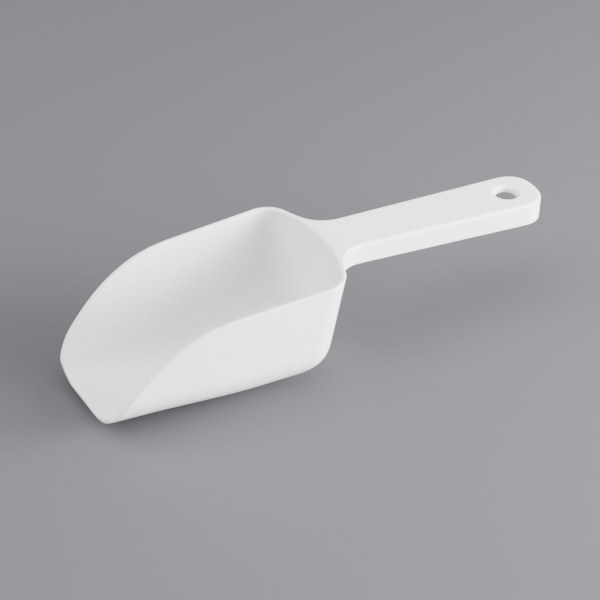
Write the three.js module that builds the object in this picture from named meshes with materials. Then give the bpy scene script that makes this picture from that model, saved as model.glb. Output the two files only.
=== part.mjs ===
// Ice scoop: one injection-moulded plastic tool, divided at its natural boundaries into the
// floor, side walls and back wall of the bowl, and the plates and skirts of the handle.
// Millimetres, +Z up. X runs from the lip to the end of the handle and Y across. The part
// stands on Z = 0, on the flat stretch of floor under the back of the bowl.

import * as THREE from 'three';
import { mergeVertices } from 'three/addons/utils/BufferGeometryUtils.js';

const RAD = Math.PI / 180;

// Driving dimensions

const LENGTH = 240;              // lip to the end of the handle
const GAP = 0.3;                 // clearance between neighbouring regions

// Bowl: outer faces, given at the level of the floor
const BOWL_LENGTH = 114.8;       // lip to the middle of the back wall
const HALF_WIDTH_LIP = 31.3;
const HALF_WIDTH_BACK = 33.4;
const BACK_BULGE = 8.6;          // the back wall bows out past its corners
const CORNER_RADIUS_RIM = 13.5;  // upright back corners
const CORNER_RADIUS_FLOOR = 23.3;
const CORNER_BLEND_HEIGHT = 20;
const CORNER_ROOM = 0.95;        // the most of the half width that a corner radius takes
const SIDE_DRAFT = 5.3 * RAD;    // the walls lean outwards
const BACK_DRAFT = 10.3 * RAD;
const SIDE_BOTTOM_RADIUS = 22.1;
const LIP_BOTTOM_RADIUS = 20.7;  // the same radius where it reaches the lip
const LIP_REACH = 30;            // over which it changes
const BACK_BOTTOM_RADIUS = 14.1;
const WALL = 2.2;

// Floor: flat under the back of the bowl, rising to the lip in front of the bend
const FRONT_RISE = 4.6 * RAD;
const BEND_X = 66;
const BEND_HALF_LENGTH = 12;

// Rim: climbs from the lip in a rounded sweep, then runs straight to the back
const RIM_LIP_Z = 11.2;
const RIM_SWEEP_LENGTH = 62.7;
const RIM_SWEEP_POWER = 2.36;
const RIM_SWEEP_Z = 53.1;
const RIM_BACK_Z = 55.6;

// Handle: a top plate with a turned-down skirt, sloping down towards its round end
const HANDLE_SLOPE = -3.2 * RAD;
const HANDLE_HALF_WIDTH_NECK = 12.5;
const HANDLE_HALF_WIDTH_END = 14.3;
const HANDLE_DEPTH_NECK = 10.1;
const HANDLE_DEPTH_END = 11.3;
const PLATE = 2.9;
const SKIRT = 2.0;
const NECK_FILLET = 18;          // plan radius between the handle and the back wall
const HOLE_X = 223.1;
const HOLE_RADIUS = 5.4;

// Shares of the half outline of the bowl: side wall, upright corner, back wall
const SIDE_SHARE = 0.55;
const CORNER_SHARE = 0.25;

// Steps of the mesh of each region: along it and up or across it
const STEPS = {
  floor: [20, 12],
  sideWall: [22, 12],
  backWall: [36, 12],
  neck: [8, 12],
  sideSkirt: [22, 1],
  endSkirt: [18, 1],
};
const CURVE_SEGMENTS = 16;
const WELD = 1e-5;               // corners closer than this are one

// Searches: how often one is repeated, and how finely the rim and the fillet are stepped
const PASSES = 40;
const SETTLING = 0.65;
const RIM_STEP = 0.002;
const FILLET_STEP = 0.01;

// The height of the outer face of the floor at x.
function floorHeight(x) {
  const before = THREE.MathUtils.clamp(BEND_X - x, -BEND_HALF_LENGTH, BEND_HALF_LENGTH);
  const eased = (before + BEND_HALF_LENGTH) ** 2 / (4 * BEND_HALF_LENGTH);
  const beyond = Math.max(BEND_X - x - BEND_HALF_LENGTH, 0);
  return Math.tan(FRONT_RISE) * (eased + beyond);
}

// The height of the rim at x.
function rimHeight(x) {
  const slope = (RIM_BACK_Z - RIM_SWEEP_Z) / (BOWL_LENGTH - RIM_SWEEP_LENGTH);
  const straight = RIM_SWEEP_Z + slope * (x - RIM_SWEEP_LENGTH);
  const drop = RIM_SWEEP_Z - slope * RIM_SWEEP_LENGTH - RIM_LIP_Z;
  return straight - drop * Math.max(1 - x / RIM_SWEEP_LENGTH, 0) ** RIM_SWEEP_POWER;
}

// How far a drafted wall stands out at height h above the floor, with its bottom radius.
function wallOffset(h, draft, radius) {
  const filletTop = radius * (1 - Math.sin(draft));
  if (h >= filletTop) return h * Math.tan(draft);
  const setBack = radius * Math.tan(Math.PI / 4 - draft / 2);
  return Math.sqrt(radius ** 2 - (radius - h) ** 2) - setBack;
}

// The half outline of the bowl, at height h above the floor, of the face that lies `inset`
// inside the outer one. s runs from 0 at the lip to 1 at the middle of the back.
function outlinePoint(s, h, inset) {
  const shrink = (draft) => inset * Math.tan(Math.PI / 4 - draft / 2);
  const sideOffset = wallOffset(h, SIDE_DRAFT, SIDE_BOTTOM_RADIUS - inset) - shrink(SIDE_DRAFT);
  const backOffset = wallOffset(h, BACK_DRAFT, BACK_BOTTOM_RADIUS - inset) - shrink(BACK_DRAFT);
  const slope = (HALF_WIDTH_BACK - HALF_WIDTH_LIP) / BOWL_LENGTH;
  const stretch = Math.hypot(slope, 1);
  const bulgeRadius = (HALF_WIDTH_BACK ** 2 + BACK_BULGE ** 2) / (2 * BACK_BULGE);
  const bulgeX = BOWL_LENGTH - bulgeRadius;
  const backRadius = bulgeRadius + backOffset;

  // The corner opens out towards the floor, as far as the narrowing outline has room for it.
  const lineY = HALF_WIDTH_LIP + sideOffset;
  const low = THREE.MathUtils.clamp(1 - (h + inset) / CORNER_BLEND_HEIGHT, 0, 1) ** 2;
  const wanted = THREE.MathUtils.lerp(CORNER_RADIUS_RIM, CORNER_RADIUS_FLOOR, low) - inset;
  const corner = (wanted ** -4 + (CORNER_ROOM * lineY) ** -4) ** -0.25;

  // The corner's centre is one corner radius inside both the side line and the back arc.
  const centreLineY = lineY - corner * stretch;
  const b = slope * centreLineY - bulgeX;
  const c = bulgeX ** 2 + centreLineY ** 2 - (backRadius - corner) ** 2;
  const centreX = (-b + Math.sqrt(b * b - stretch ** 2 * c)) / stretch ** 2;
  const centreY = centreLineY + slope * centreX;
  const sideAngle = Math.atan2(1, -slope);
  const backAngle = Math.atan2(centreY, centreX - bulgeX);

  if (s <= SIDE_SHARE) {
    const x = (centreX + corner * Math.cos(sideAngle)) * (s / SIDE_SHARE);
    const squarer = wallOffset(h, SIDE_DRAFT, LIP_BOTTOM_RADIUS - inset)
      - wallOffset(h, SIDE_DRAFT, SIDE_BOTTOM_RADIUS - inset);
    const nearLip = 1 - THREE.MathUtils.smoothstep(x, 0, LIP_REACH);
    return [x, lineY + slope * x + squarer * nearLip];
  }
  if (s <= SIDE_SHARE + CORNER_SHARE) {
    const turn = THREE.MathUtils.lerp(sideAngle, backAngle, (s - SIDE_SHARE) / CORNER_SHARE);
    return [centreX + corner * Math.cos(turn), centreY + corner * Math.sin(turn)];
  }
  const toMiddle = (1 - s) / (1 - SIDE_SHARE - CORNER_SHARE);
  const angle = backAngle * toMiddle;
  return [bulgeX + backRadius * Math.cos(angle), backRadius * Math.sin(angle)];
}

// The height of the rim above the given face of the floor, at outline position s.
function wallHeight(s, inset) {
  let h = RIM_SWEEP_Z;
  for (let pass = 0; pass < PASSES; pass += 1) {
    const [x] = outlinePoint(s, h, inset);
    h = THREE.MathUtils.lerp(h, rimHeight(x) - floorHeight(x) - inset, SETTLING);
  }
  return h;
}

// A point on a bowl wall. level runs from 0 at the floor to 1 at the rim, at an even pace up
// the bottom radius and the wall above it, and depth from 0 on the outer face to 1 inside.
function wallPoint(s, level, depth) {
  const inset = depth * WALL;
  const radius = SIDE_BOTTOM_RADIUS - inset;
  const top = wallHeight(s, inset);
  const sweep = Math.acos(THREE.MathUtils.clamp(1 - top / radius, 0, 1));
  const above = Math.max(top - radius, 0);
  const climbed = level * (radius * sweep + above);
  const turned = Math.min(climbed / radius, sweep);
  const h = radius * (1 - Math.cos(turned)) + climbed - radius * turned;
  const [x, y] = outlinePoint(s, h, inset);
  return new THREE.Vector3(x, y, h + inset + floorHeight(x));
}

// A box of unit size bent by a map from (u, v, w), each 0 to 1, to a point. A map that
// mirrors the box would turn its faces inwards, so its triangles are turned round.
function bentBox(stepsU, stepsV, map) {
  const box = new THREE.BoxGeometry(1, 1, 1, stepsU, stepsV, 1);
  box.deleteAttribute('normal');
  box.deleteAttribute('uv');
  const geometry = mergeVertices(box, WELD);
  const position = geometry.attributes.position;
  for (let i = 0; i < position.count; i += 1) {
    const point = map(position.getX(i) + 0.5, position.getY(i) + 0.5, position.getZ(i) + 0.5);
    position.setXYZ(i, point.x, point.y, point.z);
  }
  if (enclosedVolume(geometry) < 0) turnFacesRound(geometry);
  geometry.computeVertexNormals();
  return geometry;
}

// Six times the volume inside a closed mesh, negative where its faces point inwards.
function enclosedVolume(geometry) {
  const position = geometry.attributes.position;
  const corner = [0, 1, 2].map(() => new THREE.Vector3());
  let total = 0;
  for (let i = 0; i < geometry.index.count; i += 3) {
    corner.forEach((point, k) => point.fromBufferAttribute(position, geometry.index.getX(i + k)));
    total += corner[0].dot(corner[1].clone().cross(corner[2]));
  }
  return total;
}

function turnFacesRound(geometry) {
  const index = geometry.index;
  for (let i = 0; i < index.count; i += 3) {
    const second = index.getX(i + 1);
    index.setX(i + 1, index.getX(i + 2));
    index.setX(i + 2, second);
  }
}

const mirrored = (point, side) => new THREE.Vector3(point.x, point.y * side, point.z);

// Bowl

// Where the floor's back edge is, on the line at y.
function floorBackX(y) {
  let low = SIDE_SHARE;
  let high = 1;
  for (let pass = 0; pass < PASSES; pass += 1) {
    const middle = (low + high) / 2;
    if (outlinePoint(middle, 0, 0)[1] > y) low = middle;
    else high = middle;
  }
  return outlinePoint(low, 0, 0)[0];
}

function bowlFloor() {
  const [cornerX, cornerY] = outlinePoint(SIDE_SHARE, 0, 0);
  return bentBox(...STEPS.floor, (u, v, w) => {
    const across = Math.sin((v - 0.5) * Math.PI);
    const back = floorBackX(Math.abs(across) * (cornerY - GAP)) - GAP;
    const x = u * back;
    const [, sideY] = outlinePoint(SIDE_SHARE * Math.min(x / cornerX, 1), 0, 0);
    return new THREE.Vector3(x, across * (sideY - GAP), floorHeight(x) + w * WALL);
  });
}

function sideWall(side) {
  return bentBox(...STEPS.sideWall, (u, v, w) => {
    const s = u * SIDE_SHARE * (1 - 2 * GAP / BOWL_LENGTH);
    return mirrored(wallPoint(s, v, w), side);
  });
}

function backWall() {
  return bentBox(...STEPS.backWall, (u, v, w) => {
    const across = 2 * u - 1;
    const s = 1 - Math.abs(across) * (1 - SIDE_SHARE);
    return mirrored(wallPoint(s, v, w), Math.sign(across) || 1);
  });
}

// Handle

const backRim = wallPoint(1, 1, 0);
const END_CENTRE_X = LENGTH - HANDLE_HALF_WIDTH_END;
const SIDE_FLARE = (HANDLE_HALF_WIDTH_END - HANDLE_HALF_WIDTH_NECK) / (END_CENTRE_X - backRim.x);
const handleTop = (x) => backRim.z + Math.tan(HANDLE_SLOPE) * (x - backRim.x);
const handleHalfWidth = (x) => HANDLE_HALF_WIDTH_NECK + SIDE_FLARE * (x - backRim.x);
const handleDepth = (x) => (
  THREE.MathUtils.mapLinear(Math.min(x, END_CENTRE_X), backRim.x, END_CENTRE_X,
    HANDLE_DEPTH_NECK, HANDLE_DEPTH_END));

// The plan centre of the neck fillet: it touches the handle's side and the bowl's rim.
function neckFillet() {
  const rim = [];
  for (let s = SIDE_SHARE; s <= 1; s += RIM_STEP) rim.push(wallPoint(s, 1, 0));
  const away = (x, y) => Math.min(...rim.map((point) => Math.hypot(point.x - x, point.y - y)));
  const centreY = (x) => handleHalfWidth(x) + NECK_FILLET * Math.hypot(SIDE_FLARE, 1);
  let near = backRim.x;
  let far = backRim.x + 2 * NECK_FILLET;
  for (let pass = 0; pass < PASSES; pass += 1) {
    const middle = (near + far) / 2;
    if (away(middle, centreY(middle)) < NECK_FILLET) near = middle;
    else far = middle;
  }
  const centre = new THREE.Vector2(near, centreY(near));
  const touch = rim.reduce((best, point) => (
    Math.hypot(point.x - centre.x, point.y - centre.y)
      < Math.hypot(best.x - centre.x, best.y - centre.y) ? point : best));
  const start = Math.atan2(touch.y - centre.y, touch.x - centre.x);
  const end = -Math.PI / 2 + Math.atan(SIDE_FLARE);
  return { centre, start: start > 0 ? start - 2 * Math.PI : start, end };
}

const fillet = neckFillet();

// A point of the handle's side, in plan, `inset` inside the edge. t runs from 0 where the
// fillet leaves the rim, through 1 where the straight side starts, to 2 at the round end.
function handleSide(t, inset) {
  if (t <= 1) {
    const angle = THREE.MathUtils.lerp(fillet.start, fillet.end, t);
    const radius = NECK_FILLET + inset;
    return [fillet.centre.x + radius * Math.cos(angle), fillet.centre.y + radius * Math.sin(angle)];
  }
  const [startX] = handleSide(1, 0);
  const x = THREE.MathUtils.lerp(startX, END_CENTRE_X, t - 1);
  return [x, handleHalfWidth(x) - inset];
}

// The neck plate: from the back wall's rim to where the fillets end.
function handleNeck() {
  const [, rootY] = handleSide(0, 0);
  const rimX = (y) => {
    let low = SIDE_SHARE;
    let high = 1;
    for (let pass = 0; pass < PASSES; pass += 1) {
      const middle = (low + high) / 2;
      if (wallPoint(middle, 1, 0).y > y) low = middle;
      else high = middle;
    }
    return wallPoint(high, 1, 0).x;
  };
  const rootX = rimX(rootY);
  return bentBox(...STEPS.neck, (u, v, w) => {
    const across = 2 * v - 1;
    const [x, y] = handleSide(u, 0);
    const bulge = (rimX(Math.abs(across) * rootY) - rootX + GAP) * (1 - u);
    const depth = (1 - w) * PLATE;
    return new THREE.Vector3(x + bulge, across * y, handleTop(x + bulge) - depth);
  });
}

// Tilts a flat extrusion so that its top follows the handle's slope.
function tilted(geometry, topOffset) {
  const position = geometry.attributes.position;
  for (let i = 0; i < position.count; i += 1) {
    position.setZ(i, position.getZ(i) + handleTop(position.getX(i)) + topOffset);
  }
  geometry.computeVertexNormals();
  return geometry;
}

// The long top plate, with the hanging hole through it.
function handleTopPlate() {
  const [startX] = handleSide(1, 0);
  const plan = new THREE.Shape();
  plan.moveTo(startX + GAP, -handleHalfWidth(startX + GAP));
  plan.lineTo(END_CENTRE_X, -HANDLE_HALF_WIDTH_END);
  plan.absarc(END_CENTRE_X, 0, HANDLE_HALF_WIDTH_END, -Math.PI / 2, Math.PI / 2, false);
  plan.lineTo(startX + GAP, handleHalfWidth(startX + GAP));
  plan.closePath();
  const hole = new THREE.Path();
  hole.absarc(HOLE_X, 0, HOLE_RADIUS, 0, 2 * Math.PI, true);
  plan.holes.push(hole);
  const flat = { depth: PLATE, bevelEnabled: false, curveSegments: CURVE_SEGMENTS };
  return tilted(new THREE.ExtrudeGeometry(plan, flat), -PLATE);
}

// How far round the fillet, coming from the handle, the skirt stays clear of the back wall.
function skirtStart() {
  const rim = [];
  for (let s = SIDE_SHARE; s <= 1; s += RIM_STEP) rim.push(wallPoint(s, 1, 0));
  const clears = (t) => {
    const [x, y] = handleSide(t, SKIRT);
    return rim.every((point) => Math.hypot(point.x - x, point.y - y) > 2 * GAP);
  };
  let t = 1;
  while (clears(t) && t > 0) t -= FILLET_STEP;
  return t;
}

function sideSkirt(side) {
  const start = skirtStart();
  return bentBox(...STEPS.sideSkirt, (u, v, w) => {
    const t = THREE.MathUtils.lerp(start, 2, u);
    const [x, y] = handleSide(t, w * SKIRT);
    const drop = THREE.MathUtils.lerp(PLATE + GAP, handleDepth(x), v);
    const clearX = Math.min(x, END_CENTRE_X - GAP);
    return new THREE.Vector3(clearX, side * y, handleTop(x) - drop);
  });
}

function endSkirt() {
  return bentBox(...STEPS.endSkirt, (u, v, w) => {
    const angle = (u - 0.5) * Math.PI;
    const radius = HANDLE_HALF_WIDTH_END - w * SKIRT;
    const x = END_CENTRE_X + radius * Math.cos(angle);
    const drop = THREE.MathUtils.lerp(PLATE + GAP, handleDepth(x), v);
    return new THREE.Vector3(x, radius * Math.sin(angle), handleTop(x) - drop);
  });
}

// Assembly

const plastic = { color: 0xf2f2f0, roughness: 0.35, metalness: 0 };

const pieces = {
  bowl_floor: bowlFloor(),
  bowl_left_wall: sideWall(1),
  bowl_right_wall: sideWall(-1),
  bowl_back_wall: backWall(),
  handle_neck: handleNeck(),
  handle_top: handleTopPlate(),
  handle_left_skirt: sideSkirt(1),
  handle_right_skirt: sideSkirt(-1),
  handle_end_skirt: endSkirt(),
};

// The origin is the middle of the bounding box, at its foot.
const scoop = new THREE.Group();
for (const [name, geometry] of Object.entries(pieces)) {
  const mesh = new THREE.Mesh(geometry, new THREE.MeshStandardMaterial(plastic));
  mesh.name = name;
  mesh.position.x = -LENGTH / 2;
  scoop.add(mesh);
}

export default scoop;
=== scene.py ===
"""Ice scoop: a moulded plastic bowl with a swept rim and its channel-shaped handle, on a pale floor."""

from math import pi, radians

import bmesh
import bpy
import numpy as np
from bpy.props import FloatProperty, FloatVectorProperty, PointerProperty
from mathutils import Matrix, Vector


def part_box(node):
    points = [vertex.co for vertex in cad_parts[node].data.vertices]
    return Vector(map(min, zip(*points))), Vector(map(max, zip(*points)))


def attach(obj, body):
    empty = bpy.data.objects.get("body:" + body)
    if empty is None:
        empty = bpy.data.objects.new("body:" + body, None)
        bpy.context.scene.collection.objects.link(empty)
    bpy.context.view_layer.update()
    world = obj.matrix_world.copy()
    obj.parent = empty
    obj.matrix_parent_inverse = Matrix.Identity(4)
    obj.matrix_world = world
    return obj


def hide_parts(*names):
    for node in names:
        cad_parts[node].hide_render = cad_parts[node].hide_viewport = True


bl_info = {
    "name": "Ice Scoop",
    "version": (1, 0, 0),
    "blender": (4, 5, 0),
    "location": "3D View > Sidebar > Ice Scoop",
    "description": "Builds the moulded skin of an ice scoop round its packed frame",
    "category": "Add Mesh",
}

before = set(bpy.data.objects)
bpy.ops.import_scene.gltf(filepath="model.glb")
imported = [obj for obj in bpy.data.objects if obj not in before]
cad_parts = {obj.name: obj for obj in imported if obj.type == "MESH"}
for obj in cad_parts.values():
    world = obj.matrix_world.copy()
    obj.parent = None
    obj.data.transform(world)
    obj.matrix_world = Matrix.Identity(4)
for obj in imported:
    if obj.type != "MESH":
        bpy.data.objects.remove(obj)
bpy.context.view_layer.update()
lip_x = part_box("bowl_floor")[0].x
tip_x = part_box("handle_end_skirt")[1].x


def length(name, description, default):
    return FloatProperty(name=name, description=description, default=default, unit="LENGTH", precision=5)


def angle(name, description, degrees):
    return FloatProperty(name=name, description=description, default=radians(degrees), unit="ROTATION")


class ScoopBowl(bpy.types.PropertyGroup):
    """Outer sizes of the bowl at the level of its floor, and the sweep of its rim."""

    back_x: length("Length", "Lip to the middle of the back wall", 0.1148)
    half_width_lip: length("Half width at lip", "Middle plane to the side wall, at the lip", 0.0313)
    half_width_back: length("Half width at back", "Middle plane to the side wall, at the back", 0.0334)
    bulge: length("Back bulge", "How far the back wall bows out past its corners", 0.0086)
    corner_rim: length("Corner radius at rim", "Plan radius of the upright corners, high up", 0.0135)
    corner_floor: length("Corner radius at floor", "Plan radius the corners open out to", 0.0233)
    corner_blend: length("Corner blend height", "Height over which the corners open out", 0.02)
    side_draft: angle("Side draft", "How far the side walls lean out", 5.3)
    back_draft: angle("Back draft", "How far the back wall leans out", 10.3)
    side_round: length("Side bottom radius", "Round between the floor and a side wall", 0.0221)
    lip_round: length("Lip bottom radius", "The same round where it reaches the lip", 0.0207)
    lip_reach: length("Lip reach", "Length over which the round changes", 0.03)
    back_round: length("Back bottom radius", "Round between the floor and the back wall", 0.0141)
    wall: length("Wall", "Thickness of the moulding", 0.0022)
    front_rise: angle("Front rise", "Slope of the floor in front of its bend", 4.6)
    bend_x: length("Bend", "Lip to the bend in the floor", 0.066)
    bend_half: length("Bend half length", "Half the length that the bend takes", 0.012)
    lip_z: length("Lip height", "Height of the rim at the lip", 0.0112)
    lip_set_back: length("Lip set-back", "Where the lip's rounded edge starts", 0.0008)
    lip_corner: length("Lip corner", "How far the lip's ends are rounded back", 0.0003)
    sweep_x: length("Sweep length", "Lip to where the rim runs straight", 0.0627)
    sweep_z: length("Sweep height", "Height of the rim where it runs straight", 0.0531)
    sweep_power: FloatProperty(name="Sweep power", description="How full the sweep of the rim is",
                               default=2.36)
    back_z: length("Back height", "Height of the rim above the middle of the back wall", 0.0556)


class ScoopHandle(bpy.types.PropertyGroup):
    """Sizes of the channel-shaped handle and its hanging hole."""

    slope: angle("Slope", "Slope of the top plate towards its end", -3.2)
    half_width_neck: length("Half width at neck", "Middle plane to the side, at the bowl", 0.0125)
    half_width_end: length("Half width at end", "Middle plane to the side, at the round end", 0.0143)
    end_length: length("End length", "Length of the round end", 0.0136)
    end_set_back: length("End set-back", "How far the round end stops short of the frame", 0.001)
    depth: length("Depth", "Top plate to the skirt's lower edge, at the bowl", 0.0104)
    depth_end: length("Depth at end", "Top plate to the skirt's lower edge, at the round end", 0.0116)
    plate: length("Plate", "Thickness of the top plate", 0.0032)
    skirt: length("Skirt", "Thickness of the skirt", 0.002)
    skirt_draft: angle("Skirt draft", "How far the skirt leans in towards its lower edge", 2.5)
    fillet: length("Neck fillet", "Plan radius between the handle and the back wall", 0.018)
    edge: length("Edge radius", "Round along the top edge", 0.0015)
    hole_x: length("Hole place", "Lip to the middle of the hanging hole", 0.2231)
    hole_radius: length("Hole radius", "Radius of the hanging hole", 0.0054)
    hole_flare: length("Hole flare", "Round at the top of the hanging hole", 0.0018)


class ScoopFinish(bpy.types.PropertyGroup):
    """Colour and gloss of the moulded plastic."""

    colour: FloatVectorProperty(name="Colour", description="Colour of the plastic", subtype="COLOR",
                                size=3, min=0, max=1, default=(0.76, 0.76, 0.756))
    roughness: FloatProperty(name="Roughness", description="Roughness of the moulded surface",
                             default=0.27, min=0, max=1)
    grain: length("Grain depth", "Depth of the fine moulded grain", 0.000004)


class ScoopStage(bpy.types.PropertyGroup):
    """Camera, lights and floor."""

    azimuth: angle("Azimuth", "Camera's turn round the scoop", -28.34)
    elevation: angle("Elevation", "Camera's height above the horizon", 34.89)
    distance: length("Distance", "Camera to the point that it looks at", 1.2755)
    aim_x: length("Aim", "Lip to the point that the camera looks at", 0.11143)
    aim_z: length("Aim height", "Height of the point that the camera looks at", 0.025)
    lens: FloatProperty(name="Lens", description="Focal length on a 36 mm frame, in mm", default=164.1)
    floor: FloatVectorProperty(name="Floor", description="Colour of the floor", subtype="COLOR",
                               size=3, min=0, max=1, default=(0.0715, 0.07, 0.079))


# Shape of the bowl

SIDE_SHARE = 0.55  # share of the outline's parameter that the side line takes
CORNER_SHARE = 0.25  # share that the corner arc takes
CORNER_ROOM = 0.95  # largest corner radius, as a share of the half width
RIM_ROUND = 0.0007  # height of the rim's rounded edge
CROWN = 0.008  # length over which the rim's line turns over into the handle's
LIP_STRAIGHT = 0.6  # share of the half width over which the lip is straight
PASSES = 40  # passes of every solution by repetition
SETTLING = 0.65  # share of the way that a pass moves the rim's height
SAME_POINT = 1e-6  # points closer than this are one
SHARP_ANGLE = 40  # edges past this angle, in degrees, are shaded sharp
SIDE_COLUMNS = 80
CORNER_COLUMNS = 28
BACK_COLUMNS = 24
LIP_BUNCHING = 1.35  # how much the side's columns close up towards the lip


def sizes(group):
    """The settings of a group as plain numbers."""
    return {name: getattr(group, name) for name in group.__annotations__}


def ease(x):
    """0 below 0 and 1 above 1, joined by a smooth cubic."""
    x = np.clip(x, 0, 1)
    return x * x * (3 - 2 * x)


def floor_height(x, bowl):
    """Nothing behind the bend, a straight rise to the lip in front of it, and a parabola between."""
    ahead = bowl["bend_x"] - x
    half = bowl["bend_half"]
    eased = (np.clip(ahead, -half, half) + half) ** 2 / (4 * half)
    return np.tan(bowl["front_rise"]) * (eased + np.maximum(ahead - half, 0))


def top_height(x, bowl, handle):
    """The rim's power-law sweep up to a straight line, which turns over at the back of the bowl
    into the handle's line, the lower of the two lines with a rounded crown where they cross."""
    slope = (bowl["back_z"] - bowl["sweep_z"]) / (bowl["back_x"] - bowl["sweep_x"])
    rim = bowl["sweep_z"] + slope * (x - bowl["sweep_x"])
    drop = bowl["sweep_z"] - slope * bowl["sweep_x"] - bowl["lip_z"]
    rim = rim - drop * np.maximum(1 - x / bowl["sweep_x"], 0) ** bowl["sweep_power"]
    root = handle["root"]
    plate = root[1] + np.tan(handle["slope"]) * (x - root[0])
    gap = np.abs(rim - plate)
    crown = CROWN * (slope - np.tan(handle["slope"]))
    return np.minimum(rim, plate) - np.maximum(crown - gap, 0) ** 2 / (4 * crown)


def wall_offset(height, draft, radius):
    """How far a wall stands out at a height above the floor: a circle's arc up from the floor,
    then a straight line that leans by the draft, tangent to it."""
    set_back = radius * np.tan(pi / 4 - draft / 2)
    arc = np.sqrt(np.maximum(radius ** 2 - (radius - np.minimum(height, radius)) ** 2, 0)) - set_back
    return np.where(height < radius * (1 - np.sin(draft)), arc, height * np.tan(draft))


def bowl_outline(s, height, inset, bowl):
    """Half the bowl's plan outline at a height above the floor: a side line, a corner arc and a
    back arc, each tangent to the next. s goes from 0 at the lip to 1 at the middle of the back."""
    def wall(draft, radius):
        return wall_offset(height, draft, radius - inset) - inset * np.tan(pi / 4 - draft / 2)

    side_offset = wall(bowl["side_draft"], bowl["side_round"])
    line_y = bowl["half_width_lip"] + side_offset
    low = np.clip(1 - (height + inset) / bowl["corner_blend"], 0, 1) ** 2
    wanted = bowl["corner_rim"] + (bowl["corner_floor"] - bowl["corner_rim"]) * low - inset
    corner = (wanted ** -4 + (CORNER_ROOM * line_y) ** -4) ** -0.25

    slope = (bowl["half_width_back"] - bowl["half_width_lip"]) / bowl["back_x"]
    stretch = np.hypot(slope, 1)
    bulge_radius = (bowl["half_width_back"] ** 2 + bowl["bulge"] ** 2) / (2 * bowl["bulge"])
    bulge_x = bowl["back_x"] - bulge_radius
    back_radius = bulge_radius + wall(bowl["back_draft"], bowl["back_round"])

    centre_line = line_y - corner * stretch
    half_linear = slope * centre_line - bulge_x
    constant = bulge_x ** 2 + centre_line ** 2 - (back_radius - corner) ** 2
    centre_x = (-half_linear + np.sqrt(half_linear ** 2 - stretch ** 2 * constant)) / stretch ** 2
    centre_y = centre_line + slope * centre_x
    side_angle = np.arctan2(1, -slope)
    back_angle = np.arctan2(centre_y, centre_x - bulge_x)

    along = np.clip(s / SIDE_SHARE, 0, 1)
    start = lip_start(line_y, bowl)
    side_x = start + (centre_x + corner * np.cos(side_angle) - start) * along
    turn = side_angle + (back_angle - side_angle) * np.clip((s - SIDE_SHARE) / CORNER_SHARE, 0, 1)
    sweep = back_angle * np.clip((1 - s) / (1 - SIDE_SHARE - CORNER_SHARE), 0, 1)
    on_side = s < SIDE_SHARE
    on_corner = s < SIDE_SHARE + CORNER_SHARE
    x = np.where(on_side, side_x, np.where(on_corner, centre_x + corner * np.cos(turn),
                                           bulge_x + back_radius * np.cos(sweep)))
    squarer = wall(bowl["side_draft"], bowl["lip_round"]) - side_offset
    side_y = line_y + slope * side_x + squarer * ease(1 - side_x / bowl["lip_reach"])
    y = np.where(on_side, side_y, np.where(on_corner, centre_y + corner * np.sin(turn),
                                           back_radius * np.sin(sweep)))
    return x, y


def lip_start(y, bowl):
    """Where the lip is at y: straight across, and rounded back a little towards its two ends."""
    beyond = np.clip((np.abs(y) / bowl["half_width_lip"] - LIP_STRAIGHT) / (1 - LIP_STRAIGHT), 0, 1)
    return bowl["lip_set_back"] + bowl["lip_corner"] * beyond ** 2


def wall_top(s, inset, bowl, handle):
    """The height of the rim above a face of the floor, by repeated substitution: each pass takes
    the outline's place at the last height, and moves part of the way to the rim's height there."""
    height = np.full(np.shape(s), bowl["sweep_z"])
    for _ in range(PASSES):
        x = bowl_outline(s, height, inset, bowl)[0]
        rim_height = top_height(x, bowl, handle) - RIM_ROUND - floor_height(x, bowl) - inset
        height = (1 - SETTLING) * height + SETTLING * rim_height
    return np.maximum(height, 10 * SAME_POINT)


def bowl_face(columns, bowl, handle, inset, floor_rows=10, wall_rows=44):
    """One face of the bowl as a grid, columns round the outline and rows from the middle of the
    floor to the rim. A wall row climbs at an even pace up the bottom radius and the wall. A floor
    row goes from the outline to the middle line, or to one point under the back of the bowl."""
    s = 1 - np.abs(columns)
    side = np.where(columns < 0, -1.0, 1.0)
    radius = bowl["side_round"] - inset
    top = wall_top(s, inset, bowl, handle)
    sweep = np.arccos(np.clip(1 - top / radius, 0, 1))
    climbed = np.linspace(0, 1, wall_rows)[:, None] * (radius * sweep + np.maximum(top - radius, 0))
    turned = np.minimum(climbed / radius, sweep)
    height = radius * (1 - np.cos(turned)) + climbed - radius * turned
    x, y = bowl_outline(s[None], height, inset, bowl)

    edge_x, edge_y = x[0], y[0]
    pole_x = edge_x[s >= SIDE_SHARE].min()
    inwards = np.linspace(0, 1, floor_rows, endpoint=False)[:, None]
    floor_x = np.minimum(edge_x, pole_x) * (1 - inwards) + edge_x * inwards
    x = np.vstack([floor_x, x])
    y = np.vstack([edge_y * inwards, y])
    height = np.vstack([np.zeros_like(floor_x), height])
    return np.stack([x, y * side, height + inset + floor_height(x, bowl)], -1)


def outwards(grid, axis, last):
    """The unit direction that leaves a grid's face across its first or last line on an axis."""
    lines = np.moveaxis(grid, axis, 0)
    step = lines[-1] - lines[-3] if last else lines[0] - lines[2]
    return step / np.maximum(np.linalg.norm(step, axis=-1, keepdims=True), 1e-12)


# The edge of a wall in section: from its outer face (1, 0) over the top to its inner face (-1, 0),
# as a superellipse, and the square form that its outer half takes under the handle.
EDGE_TURN = np.linspace(0, pi, 13)
EDGE_POWER = 0.7
ROUND_EDGE = np.stack([np.sign(np.cos(EDGE_TURN)) * np.abs(np.cos(EDGE_TURN)) ** EDGE_POWER,
                       np.abs(np.sin(EDGE_TURN)) ** EDGE_POWER])
SQUARE_EDGE = np.array([[1, 1, 1, 1, 0.75, 0.35, 0], [0, 0.33, 0.66, 1, 1, 1, 1]])
SQUARE_FADE = 0.002  # width over which the square form fades out beside the neck


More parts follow.
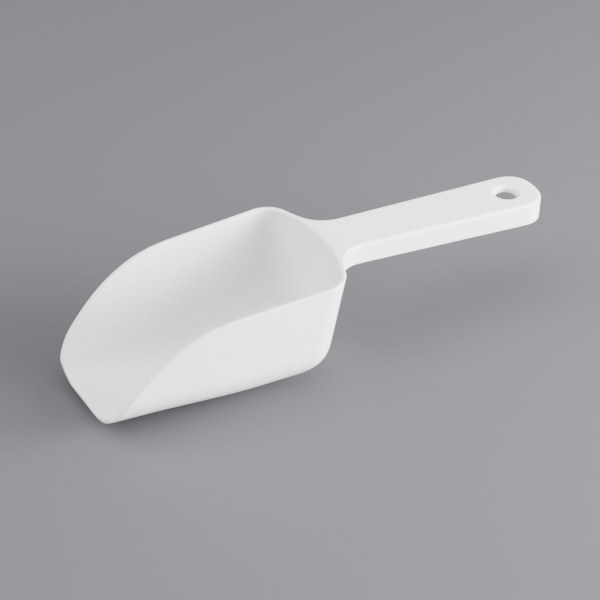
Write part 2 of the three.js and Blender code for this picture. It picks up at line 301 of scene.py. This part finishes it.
def wall_edge(outer, inner, direction, rise, square=None):
    """Lines that carry an outer edge over to an inner one: a rounded edge in section, as wide as
    the wall and `rise` high along a direction, whose outer half turns square where asked."""
    middle = (outer + inner) / 2
    half = (outer - inner) / 2
    lines = []
    for k in range(ROUND_EDGE.shape[1]):
        across, up = ROUND_EDGE[:, k]
        if square is not None and k < SQUARE_EDGE.shape[1]:
            across = across + (SQUARE_EDGE[0, k] - across) * square[:, None]
            up = up + (SQUARE_EDGE[1, k] - up) * square[:, None]
        lines.append(middle + half * across + direction * up * rise)
    return np.array(lines)


def sheet_mesh(name, grids):
    """A closed mesh from grids of points that share their edges: a quad between each four
    neighbours, doubles merged, normals turned out, and every edge tested to have two faces."""
    points = []
    faces = []
    count = 0
    for grid in grids:
        rows, columns = grid.shape[:2]
        index = count + np.arange(rows * columns).reshape(rows, columns)
        quads = np.stack([index[:-1, :-1], index[:-1, 1:], index[1:, 1:], index[1:, :-1]], -1)
        points.append(grid.reshape(-1, 3))
        faces.append(quads.reshape(-1, 4))
        count += rows * columns
    points = np.vstack(points) + np.array([lip_x, 0, 0])
    mesh = bpy.data.meshes.new(name)
    mesh.from_pydata(points.tolist(), [], np.vstack(faces).tolist())
    work = bmesh.new()
    work.from_mesh(mesh)
    bmesh.ops.remove_doubles(work, verts=work.verts, dist=SAME_POINT)
    bmesh.ops.dissolve_degenerate(work, edges=work.edges, dist=SAME_POINT / 10)
    bmesh.ops.recalc_face_normals(work, faces=work.faces)
    work.to_mesh(mesh)
    work.free()
    side_edges = np.zeros(len(mesh.loops), dtype=int)
    mesh.loops.foreach_get("edge_index", side_edges)
    open_edges = np.count_nonzero(np.bincount(side_edges, minlength=len(mesh.edges)) != 2)
    if open_edges:
        raise RuntimeError(f"{name} has {open_edges} open edges")
    mesh.shade_smooth()
    mesh.set_sharp_from_angle(angle=radians(SHARP_ANGLE))
    return mesh


def add_piece(name, mesh, material, nodes):
    """The finished piece, riding on the frame in place of its nodes."""
    piece = bpy.data.objects.new(name, mesh)
    bpy.context.collection.objects.link(piece)
    mesh.materials.append(material)
    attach(piece, "root")
    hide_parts(*nodes)
    return piece


# Shape of the handle


def settings(context):
    """The bowl's and the handle's sizes, with the point where the handle leaves the bowl's rim."""
    bowl = sizes(context.scene.scoop_bowl)
    handle = sizes(context.scene.scoop_handle)
    slope = (bowl["back_z"] - bowl["sweep_z"]) / (bowl["back_x"] - bowl["sweep_x"])
    lean = np.tan(bowl["back_draft"])
    x = bowl["back_x"] + lean * (bowl["back_z"] + slope * lean * bowl["back_z"])
    handle["root"] = (x, bowl["back_z"] + slope * (x - bowl["back_x"]))
    handle["end_x"] = tip_x - lip_x - handle["end_set_back"] - handle["end_length"]
    handle["flare"] = (handle["half_width_end"] - handle["half_width_neck"]) / (handle["end_x"] - x)
    return bowl, handle


def half_width(x, handle):
    """The handle's half width at x: a straight flare from the neck to the round end."""
    return handle["half_width_neck"] + handle["flare"] * (x - handle["root"][0])


def rim_curve(bowl, handle, drop, count=400):
    """The back wall's outer face in plan, at a depth below the top."""
    s = np.linspace(SIDE_SHARE, 1, count)
    height = wall_top(s, 0.0, bowl, handle) + RIM_ROUND - drop
    return np.stack(bowl_outline(s, height, 0.0, bowl), -1)


def neck_centre(bowl, handle, drop):
    """The plan centre of the neck fillet at a depth below the top: one fillet radius from the
    handle's side and from the back wall, by halving."""
    wall = rim_curve(bowl, handle, drop)
    near, far = handle["root"][0] - 0.01, handle["root"][0] + 2 * handle["fillet"]
    for _ in range(PASSES):
        x = (near + far) / 2
        y = half_width(x, handle) + handle["fillet"] * np.hypot(handle["flare"], 1)
        away = np.hypot(wall[:, 0] - x, wall[:, 1] - y).min()
        near, far = (x, far) if away < handle["fillet"] else (near, x)
    touch = wall[np.hypot(wall[:, 0] - x, wall[:, 1] - y).argmin()]
    start = np.arctan2(touch[1] - y, touch[0] - x)
    return x, y, start - 2 * pi if start > 0 else start


END_POWER = 0.82  # fullness of the round end, where 1 is an ellipse
END_SHARPER = 0.6  # share of the top edge's radius that is lost round the end
SKIRT_ROUND = 0.0005  # height of the skirt's rounded lower edge
SHARP_EDGE = 0.0003  # radius of the top edge where it leaves the bowl
EDGE_GROWS = 0.7  # share of the neck fillet over which the top edge's radius grows
ROOT_SKIRT = 0.35  # share of the skirt's thickness where it meets the back wall
ROOT_GROWS = 0.3  # share of the neck fillet over which the skirt grows to its thickness
UNDER_EDGE = 0.6  # radius of the channel's inner edges, as a share of the skirt
HOLE_REACH = 0.75  # hole to the place where the plate's lines start round it, in half widths
BUNCH_REACH = 4  # hole to the place where those lines start to close up, in half widths
BUNCH_POWER = 1.8  # how fast they close up
NECK_LINES = 30
SIDE_LINES = 80
HOLE_LINES = 14
END_LINES = 37
PLATE_ROWS = 13
ARC_ROWS = 8
SKIRT_ROWS = 8
HOLE_ROWS = 5


def handle_side(t, inset, drop, neck, handle):
    """The handle's half outline in plan, inset from its edge: the neck fillet for t up to 1, the
    flared straight side up to 2, and a quarter of the round end, a superellipse, up to 3. The
    fillet moves with the leaning back wall, by straight lines between its places at the top and
    at full depth."""
    down = drop / handle["depth"]
    centre_x, centre_y, start = (top + (bottom - top) * down for top, bottom in zip(*neck))
    end = np.arctan(handle["flare"]) - pi / 2
    turn = start + (end - start) * np.clip(t, 0, 1)
    radius = handle["fillet"] + inset
    straight_x = centre_x + handle["fillet"] * np.cos(end)
    along = straight_x + (handle["end_x"] - straight_x) * np.clip(t - 1, 0, 1)
    around = pi / 2 * np.clip(3 - t, 0, 1)
    end_x = handle["end_x"] + (handle["end_length"] - inset) * np.cos(around) ** END_POWER
    end_y = (handle["half_width_end"] - inset) * np.sin(around) ** END_POWER
    side_y = half_width(along, handle) - inset
    x = np.where(t < 1, centre_x + radius * np.cos(turn), np.where(t < 2, along, end_x))
    y = np.where(t < 1, centre_y + radius * np.sin(turn), np.where(t < 2, side_y, end_y))
    return x, y


def handle_lines(neck, handle):
    """Places along the half outline, with the x and y of the point where each one's line across
    the plate starts: on the middle line, then round the hanging hole's half circle. The number of
    lines that start on the middle line comes last."""
    straight_x = neck[0][0] + handle["fillet"] * np.cos(np.arctan(handle["flare"]) - pi / 2)
    meets_x = handle["hole_x"] - HOLE_REACH * handle["half_width_end"]
    meets = 1 + (meets_x - straight_x) / (handle["end_x"] - straight_x)
    before = np.concatenate([np.linspace(0, 1, NECK_LINES, endpoint=False),
                             np.linspace(1, meets, SIDE_LINES, endpoint=False)])
    t = np.concatenate([before, np.linspace(meets, 2, HOLE_LINES, endpoint=False),
                        np.linspace(2, 3, END_LINES)])
    outline = handle_side(t, 0.0, 0.0, neck, handle)[0]
    outline = np.where(t < 2, outline, handle["end_x"] + (t - 2) * pi / 2 * handle["half_width_end"])

    bunch_x = handle["hole_x"] - BUNCH_REACH * handle["half_width_end"]
    edge_x = handle["hole_x"] - handle["hole_radius"]
    short = np.clip((meets_x - outline) / (meets_x - bunch_x), 0, 1) ** BUNCH_POWER
    middle = np.where(outline < bunch_x, outline, edge_x - (edge_x - bunch_x) * short)
    around = np.clip((outline - meets_x) / (outline[-1] - meets_x), 0, 1) * pi
    on_hole = t >= meets
    anchor_x = np.where(on_hole, handle["hole_x"] - handle["hole_radius"] * np.cos(around), middle)
    anchor_y = np.where(on_hole, handle["hole_radius"] * np.sin(around), 0.0)
    return t, anchor_x, anchor_y, len(before)


def handle_face(lines, handle, bowl, neck, under):
    """One face of the handle's half as a grid: rows from the middle of the plate, or the rim of
    the hanging hole, out to the edge, round it in a quarter circle and down the skirt, which leans
    in by its draft. The plate's lines are straight in plan, bowed in the neck to follow the bowl's
    rim. The top edge's radius grows from almost nothing at the bowl and shrinks again round the
    end, and the under face stands in from the side by the skirt's thickness, thinner at the root."""
    t, anchor_x, anchor_y = lines
    thickness = handle["skirt"] * (ROOT_SKIRT + (1 - ROOT_SKIRT) * ease(t / ROOT_GROWS))
    inset = thickness if under else np.zeros_like(t)
    level = handle["plate"] if under else 0.0
    fullness = ease(t / EDGE_GROWS) * (1 - END_SHARPER * ease(t - 2))
    edge = UNDER_EDGE * handle["skirt"] if under else SHARP_EDGE + (handle["edge"] - SHARP_EDGE) * fullness

    plate_x, plate_y = handle_side(t, inset + edge, level, neck, handle)
    reach = np.hypot(plate_x - anchor_x, plate_y - anchor_y)
    quarter = np.linspace(0, pi / 2, ARC_ROWS)
    mouth = handle["hole_flare"] * (1 - np.cos(quarter))[:, None]
    beyond = np.linspace(0, 1, PLATE_ROWS)[1:, None]
    share = np.vstack([mouth / reach, (mouth[-1] + (reach - mouth[-1]) * beyond) / reach])
    x = anchor_x + (plate_x - anchor_x) * share
    y = anchor_y + (plate_y - anchor_y) * share
    wall = rim_curve(bowl, handle, level)[::-1]
    rim_x = np.interp(share * plate_y[0], wall[:, 1], wall[:, 0])
    middle_x = np.interp(0, wall[:, 1], wall[:, 0])
    chord = middle_x + (np.interp(plate_y[0], wall[:, 1], wall[:, 0]) - middle_x) * share
    middle_gap = middle_x - anchor_x[0]
    x = x + np.clip(1 - t, 0, 1) * (rim_x - chord + middle_gap * (1 - share))
    drop = np.full_like(x, level)

    turn = quarter[1:, None]
    arc_inset = inset + edge * (1 - np.sin(turn))
    arc_drop = level + edge * (1 - np.cos(turn))
    arc_x, arc_y = handle_side(t, arc_inset, arc_drop, neck, handle)

    root_x = handle_side(np.zeros(1), 0.0, 0.0, neck, handle)[0]
    toward_end = (handle_side(t, 0.0, 0.0, neck, handle)[0] - root_x) / (handle["end_x"] - root_x)
    deeper = (handle["depth_end"] - handle["depth"]) * np.clip(toward_end, 0, 1)
    lowest = handle["depth"] + deeper - SKIRT_ROUND
    down = np.linspace(0, 1, SKIRT_ROWS)[1:, None]
    side_drop = arc_drop[-1] + (lowest - arc_drop[-1]) * down
    lean = (side_drop - arc_drop[-1]) * np.tan(handle["skirt_draft"]) * ease(t)
    side_x, side_y = handle_side(t, inset + lean, side_drop, neck, handle)

    x = np.vstack([x, arc_x, side_x])
    y = np.vstack([y, arc_y, side_y])
    drop = np.vstack([drop, arc_drop + 0 * arc_x, side_drop + 0 * side_x])
    z = top_height(x, bowl, handle) - drop
    if not under:
        z = z - hole_flare(x, y, handle)
    return np.stack([x, y, z], -1)


def hole_flare(x, y, handle):
    """How far the plate's top dips into the hole's rounded mouth: a quarter circle in section."""
    flare = handle["hole_flare"]
    away = np.clip(np.hypot(x - handle["hole_x"], y) - handle["hole_radius"], 0, flare)
    return flare - np.sqrt(np.maximum(flare ** 2 - (flare - away) ** 2, 0))


def mirrored(grid):
    """Both halves of a grid whose columns end in the middle plane."""
    other = grid[:, ::-1] * np.array([1, -1, 1])
    return np.concatenate([grid, other[:, 1:]], 1)


# Material

MATERIAL = "moulded_white_plastic"
MOTTLE = (0.985, 1.01)  # darkest and palest share of the colour
MOTTLE_SCALE = 35
GLOSS_DRIFT = 0.04  # how far the roughness drifts either way
GLOSS_SCALE = 60
GRAIN_STRENGTH = 0.25
GRAIN_SCALE = 1800


def moulded_plastic(finish):
    """Opaque satin plastic: a fine even grain from the mould, a slow drift in its gloss, and a
    faint mottle in its colour, all of solid noise in the scoop's own space."""
    material = bpy.data.materials.new(MATERIAL)
    material.use_nodes = True
    nodes, links = material.node_tree.nodes, material.node_tree.links
    shader = nodes["Principled BSDF"]
    shader.inputs["IOR"].default_value = 1.49
    shader.inputs["Specular IOR Level"].default_value = 0.45
    place = nodes.new("ShaderNodeTexCoord")

    def noise(scale, detail):
        texture = nodes.new("ShaderNodeTexNoise")
        texture.inputs["Scale"].default_value = scale
        texture.inputs["Detail"].default_value = detail
        links.new(place.outputs["Object"], texture.inputs["Vector"])
        return texture.outputs["Fac"]

    mottle = nodes.new("ShaderNodeMix")
    mottle.data_type = "RGBA"
    mottle.inputs["A"].default_value = (*[MOTTLE[0] * c for c in finish["colour"]], 1)
    mottle.inputs["B"].default_value = (*[min(MOTTLE[1] * c, 1) for c in finish["colour"]], 1)
    links.new(noise(MOTTLE_SCALE, 3), mottle.inputs["Factor"])
    links.new(mottle.outputs["Result"], shader.inputs["Base Color"])

    gloss = nodes.new("ShaderNodeMapRange")
    gloss.inputs["To Min"].default_value = finish["roughness"] - GLOSS_DRIFT
    gloss.inputs["To Max"].default_value = finish["roughness"] + GLOSS_DRIFT
    links.new(noise(GLOSS_SCALE, 4), gloss.inputs["Value"])
    links.new(gloss.outputs["Result"], shader.inputs["Roughness"])

    grain = nodes.new("ShaderNodeBump")
    grain.inputs["Strength"].default_value = GRAIN_STRENGTH
    grain.inputs["Distance"].default_value = finish["grain"]
    links.new(noise(GRAIN_SCALE, 2), grain.inputs["Height"])
    links.new(grain.outputs["Normal"], shader.inputs["Normal"])
    return material


def scoop_material(context):
    """The one plastic that both pieces share."""
    known = bpy.data.materials.get(MATERIAL)
    return known or moulded_plastic(sizes(context.scene.scoop_finish))


# Operators


class SCOOP_OT_bowl(bpy.types.Operator):
    """Builds the bowl: floor, side walls, back wall and rim as one moulded skin"""

    bl_idname = "scoop.bowl"
    bl_label = "Bowl"

    def execute(self, context):
        bowl, handle = settings(context)
        side = np.linspace(0, 1, SIDE_COLUMNS, endpoint=False) ** LIP_BUNCHING * SIDE_SHARE
        corner = SIDE_SHARE + np.linspace(0, 1, CORNER_COLUMNS, endpoint=False) * CORNER_SHARE
        back = np.linspace(SIDE_SHARE + CORNER_SHARE, 1, BACK_COLUMNS)
        half = np.concatenate([side, corner, back])
        columns = np.concatenate([half - 1, (1 - half[::-1])[1:]])
        outer = bowl_face(columns, bowl, handle, 0.0)
        inner = bowl_face(columns, bowl, handle, bowl["wall"])

        rim_way = outwards(outer, 0, True)
        near_lip, far_lip = outwards(outer, 1, False), outwards(outer, 1, True)
        near_lip[-1] = rim_way[0] = (near_lip[-1] + rim_way[0]) / 2
        far_lip[-1] = rim_way[-1] = (far_lip[-1] + rim_way[-1]) / 2
        neck = neck_centre(bowl, handle, 0.0)
        reach = neck[1] + handle["fillet"] * np.sin(neck[2])
        square = ease((reach - np.abs(outer[-1, :, 1])) / SQUARE_FADE) * (outer[-1, :, 0] > bowl["bend_x"])
        rise = np.full((len(columns), 1), RIM_ROUND)
        lip_rise = np.full((len(outer), 1), bowl["wall"] / 2)
        rise[0] = rise[-1] = lip_rise[-1] = (RIM_ROUND + bowl["wall"] / 2) / 2
        rim = wall_edge(outer[-1], inner[-1], rim_way, rise, square)
        near = wall_edge(outer[:, 0], inner[:, 0], near_lip, lip_rise)
        far = wall_edge(outer[:, -1], inner[:, -1], far_lip, lip_rise)
        mesh = sheet_mesh("scoop_bowl", [outer, inner, rim, near, far])
        add_piece("scoop_bowl", mesh, scoop_material(context),
                  ["bowl_floor", "bowl_left_wall", "bowl_right_wall", "bowl_back_wall"])
        return {"FINISHED"}


class SCOOP_OT_handle(bpy.types.Operator):
    """Builds the handle: neck, top plate with its hanging hole, and skirt as one moulded skin"""

    bl_idname = "scoop.handle"
    bl_label = "Handle"

    def execute(self, context):
        bowl, handle = settings(context)
        neck = neck_centre(bowl, handle, 0.0), neck_centre(bowl, handle, handle["depth"])
        *lines, first = handle_lines(neck, handle)
        outer = mirrored(handle_face(lines, handle, bowl, neck, under=False))
        inner = mirrored(handle_face(lines, handle, bowl, neck, under=True))
        down = np.array([0.0, 0, -1])
        lower = wall_edge(outer[-1], inner[-1], down, SKIRT_ROUND)
        hole = np.linspace(outer[0, first:-first], inner[0, first:-first], HOLE_ROWS)
        lowest = len(lower) // 2
        ends = []
        for column in (0, -1):
            ends.append(np.stack([outer[:, column], inner[:, column]]))
            ends.append(np.stack([lower[:lowest + 1, column], lower[lowest:, column][::-1]]))
        mesh = sheet_mesh("scoop_handle", [outer, inner, lower, hole, *ends])
        add_piece("scoop_handle", mesh, scoop_material(context),
                  ["handle_neck", "handle_top", "handle_left_skirt", "handle_right_skirt",
                   "handle_end_skirt"])
        return {"FINISHED"}


def away_from_scoop(turn, tilt):
    """The unit direction from the scoop at an azimuth (0 is -Y, pi/2 is +X) and an elevation."""
    return np.array([np.sin(turn) * np.cos(tilt), -np.cos(turn) * np.cos(tilt), np.sin(tilt)])


# The lights: azimuth and elevation in degrees, distance, size and power.
LIGHTS = {
    "key": (42, 19, 1.0, (1.0, 0.6), 36),
    "low": (58, 14, 1.0, (0.8, 0.5), 50),
    "back": (247, 40, 1.6, (1.7, 1.3), 54),
    "top": (0, 89, 0.8, (0.9, 0.9), 9),
}
WORLD_STRENGTH = 0.02
FLOOR_HALF = 6.0
FLOOR_ROUGHNESS = 0.85


class SCOOP_OT_stage(bpy.types.Operator):
    """Sets up the pale floor, the soft lights and the camera"""

    bl_idname = "scoop.stage"
    bl_label = "Stage"

    def execute(self, context):
        scene = context.scene
        stage = sizes(scene.scoop_stage)
        self.add_floor(scene, stage)
        for name, (azimuth, elevation, distance, size, power) in LIGHTS.items():
            self.add_light(scene, name, azimuth, elevation, distance, size, power)
        self.add_camera(scene, stage)
        world = bpy.data.worlds.new("studio")
        world.use_nodes = True
        background = world.node_tree.nodes["Background"]
        background.inputs["Color"].default_value = (1, 1, 1, 1)
        background.inputs["Strength"].default_value = WORLD_STRENGTH
        scene.world = world
        return {"FINISHED"}

    def add_floor(self, scene, stage):
        """A plain square floor."""
        corners = [(FLOOR_HALF * x, FLOOR_HALF * y, 0) for x, y in ((-1, -1), (1, -1), (1, 1), (-1, 1))]
        mesh = bpy.data.meshes.new("floor")
        mesh.from_pydata(corners, [], [(0, 1, 2, 3)])
        floor = bpy.data.objects.new("floor", mesh)
        scene.collection.objects.link(floor)
        material = bpy.data.materials.new("pale_floor")
        material.use_nodes = True
        shader = material.node_tree.nodes["Principled BSDF"]
        shader.inputs["Base Color"].default_value = (*stage["floor"], 1)
        shader.inputs["Roughness"].default_value = FLOOR_ROUGHNESS
        mesh.materials.append(material)

    def add_light(self, scene, name, azimuth, elevation, distance, size, power):
        """A soft light that faces the scoop from an azimuth and an elevation in degrees."""
        data = bpy.data.lights.new(name, "AREA")
        data.shape = "RECTANGLE"
        data.size, data.size_y = size
        data.energy = power
        light = bpy.data.objects.new(name, data)
        scene.collection.objects.link(light)
        turn, tilt = radians(azimuth), radians(elevation)
        light.location = distance * away_from_scoop(turn, tilt)
        light.rotation_euler = (pi / 2 - tilt, 0, turn)

    def add_camera(self, scene, stage):
        """A long lens that looks along the azimuth and elevation at the aim point."""
        data = bpy.data.cameras.new("camera")
        data.sensor_width = 36
        data.lens = stage["lens"]
        data.clip_end = 50
        camera = bpy.data.objects.new("camera", data)
        scene.collection.objects.link(camera)
        turn, tilt = stage["azimuth"], stage["elevation"]
        aim = np.array([lip_x + stage["aim_x"], 0, stage["aim_z"]])
        camera.location = aim + stage["distance"] * away_from_scoop(turn, tilt)
        camera.rotation_euler = (pi / 2 - tilt, 0, turn)
        scene.camera = camera


class SCOOP_PT_panel(bpy.types.Panel):
    """The scoop's settings and the buttons that build it."""

    bl_label = "Ice Scoop"
    bl_idname = "SCOOP_PT_panel"
    bl_space_type = "VIEW_3D"
    bl_region_type = "UI"
    bl_category = "Ice Scoop"

    def draw(self, context):
        for group in (context.scene.scoop_bowl, context.scene.scoop_handle,
                      context.scene.scoop_finish, context.scene.scoop_stage):
            box = self.layout.box()
            for name in group.__annotations__:
                box.prop(group, name)
        for operator in (SCOOP_OT_bowl, SCOOP_OT_handle, SCOOP_OT_stage):
            self.layout.operator(operator.bl_idname)


CLASSES = (ScoopBowl, ScoopHandle, ScoopFinish, ScoopStage,
           SCOOP_OT_bowl, SCOOP_OT_handle, SCOOP_OT_stage, SCOOP_PT_panel)


def register():
    for cls in CLASSES:
        bpy.utils.register_class(cls)
    bpy.types.Scene.scoop_bowl = PointerProperty(type=ScoopBowl)
    bpy.types.Scene.scoop_handle = PointerProperty(type=ScoopHandle)
    bpy.types.Scene.scoop_finish = PointerProperty(type=ScoopFinish)
    bpy.types.Scene.scoop_stage = PointerProperty(type=ScoopStage)


def unregister():
    del bpy.types.Scene.scoop_stage
    del bpy.types.Scene.scoop_finish
    del bpy.types.Scene.scoop_handle
    del bpy.types.Scene.scoop_bowl
    for cls in reversed(CLASSES):
        bpy.utils.unregister_class(cls)


def main():
    register()
    bpy.ops.scoop.bowl()
    bpy.ops.scoop.handle()
    bpy.ops.scoop.stage()


if __name__ == "__main__":
    main()
